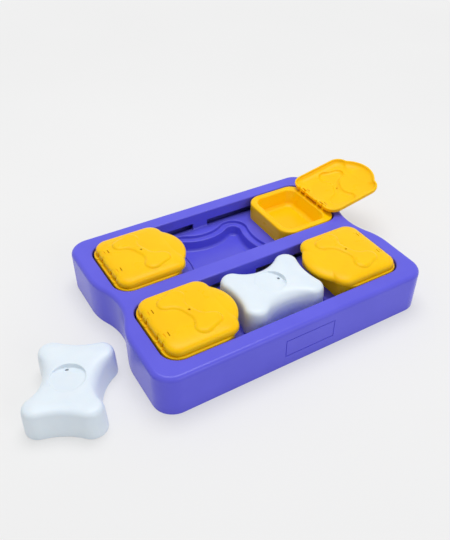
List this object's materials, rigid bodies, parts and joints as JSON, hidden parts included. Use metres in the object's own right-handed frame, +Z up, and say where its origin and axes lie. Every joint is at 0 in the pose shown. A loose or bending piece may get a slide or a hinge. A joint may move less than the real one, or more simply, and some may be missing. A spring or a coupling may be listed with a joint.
{
  "type": "dog puzzle feeder toy",
  "caption": "Waisted tray with two troughs, sliding treat boxes with hinged lids, and lift-off bone-shaped covers over wells.",
  "frame": {"origin": "on the floor plane at the centre of the tray's underside, on the foot of the middle web", "axes": "+X along the troughs, +Y to the rear, +Z up"},
  "size_m": [0.4895, 0.24, 0.0728],
  "materials": {
    "violet_plastic": "satin moulded plastic",
    "yellow_plastic": "soft gloss moulded plastic",
    "white_plastic": "satin moulded plastic"
  },
  "bodies": {
    "tray": {"tray_rear": "violet_plastic", "tray_front": "violet_plastic", "tray_middle": "violet_plastic", "tray_left": "violet_plastic", "tray_right": "violet_plastic", "trough_rear": "violet_plastic", "trough_front": "violet_plastic", "well_rear_left": "violet_plastic", "well_rear_middle": "violet_plastic", "well_rear_right": "violet_plastic", "well_front_left": "violet_plastic", "well_front_middle": "violet_plastic", "well_front_right": "violet_plastic"},
    "box_rear_left": {"box_rear_left": "yellow_plastic"},
    "lid_rear_left": {"lid_rear_left": "yellow_plastic"},
    "box_rear_right": {"box_rear_right": "yellow_plastic"},
    "lid_rear_right": {"lid_rear_right": "yellow_plastic"},
    "box_front_left": {"box_front_left": "yellow_plastic"},
    "lid_front_left": {"lid_front_left": "yellow_plastic"},
    "box_front_right": {"box_front_right": "yellow_plastic"},
    "lid_front_right": {"lid_front_right": "yellow_plastic"},
    "cover_seated": {"cover_seated": "white_plastic"},
    "cover_loose": {"cover_loose": "white_plastic"}
  },
  "joints": [
    {"name": "box_rear_left_slide", "type": "slide", "parent": "tray", "child": "box_rear_left", "axis": [1, 0, 0], "range_m": [0, 0.08]},
    {"name": "lid_rear_left_hinge", "type": "hinge", "parent": "box_rear_left", "child": "lid_rear_left", "pos_m": [-0.134, 0.0555, 0.0524], "axis": [0, -1, 0], "range_deg": [0, 169]},
    {"name": "box_rear_right_slide", "type": "slide", "parent": "tray", "child": "box_rear_right", "axis": [1, 0, 0], "range_m": [-0.08, 0]},
    {"name": "lid_rear_right_hinge", "type": "hinge", "parent": "box_rear_right", "child": "lid_rear_right", "pos_m": [0.134, 0.0555, 0.0524], "axis": [0, 1, 0], "range_deg": [-169, 0]},
    {"name": "box_front_left_slide", "type": "slide", "parent": "tray", "child": "box_front_left", "axis": [1, 0, 0], "range_m": [0, 0.0009]},
    {"name": "lid_front_left_hinge", "type": "hinge", "parent": "box_front_left", "child": "lid_front_left", "pos_m": [-0.134, -0.0555, 0.0524], "axis": [0, -1, 0], "range_deg": [0, 169]},
    {"name": "box_front_right_slide", "type": "slide", "parent": "tray", "child": "box_front_right", "axis": [1, 0, 0], "range_m": [-0.0009, 0]},
    {"name": "lid_front_right_hinge", "type": "hinge", "parent": "box_front_right", "child": "lid_front_right", "pos_m": [0.134, -0.0555, 0.0524], "axis": [0, 1, 0], "range_deg": [0, 169]},
    {"name": "cover_seated_lift", "type": "slide", "parent": "tray", "child": "cover_seated", "axis": [0, 0, 1], "range_m": [0, 0.06]},
    {"name": "cover_loose_lift", "type": "slide", "parent": "tray", "child": "cover_loose", "axis": [0, 0, 1], "range_m": [0, 0.02]}
  ]
}
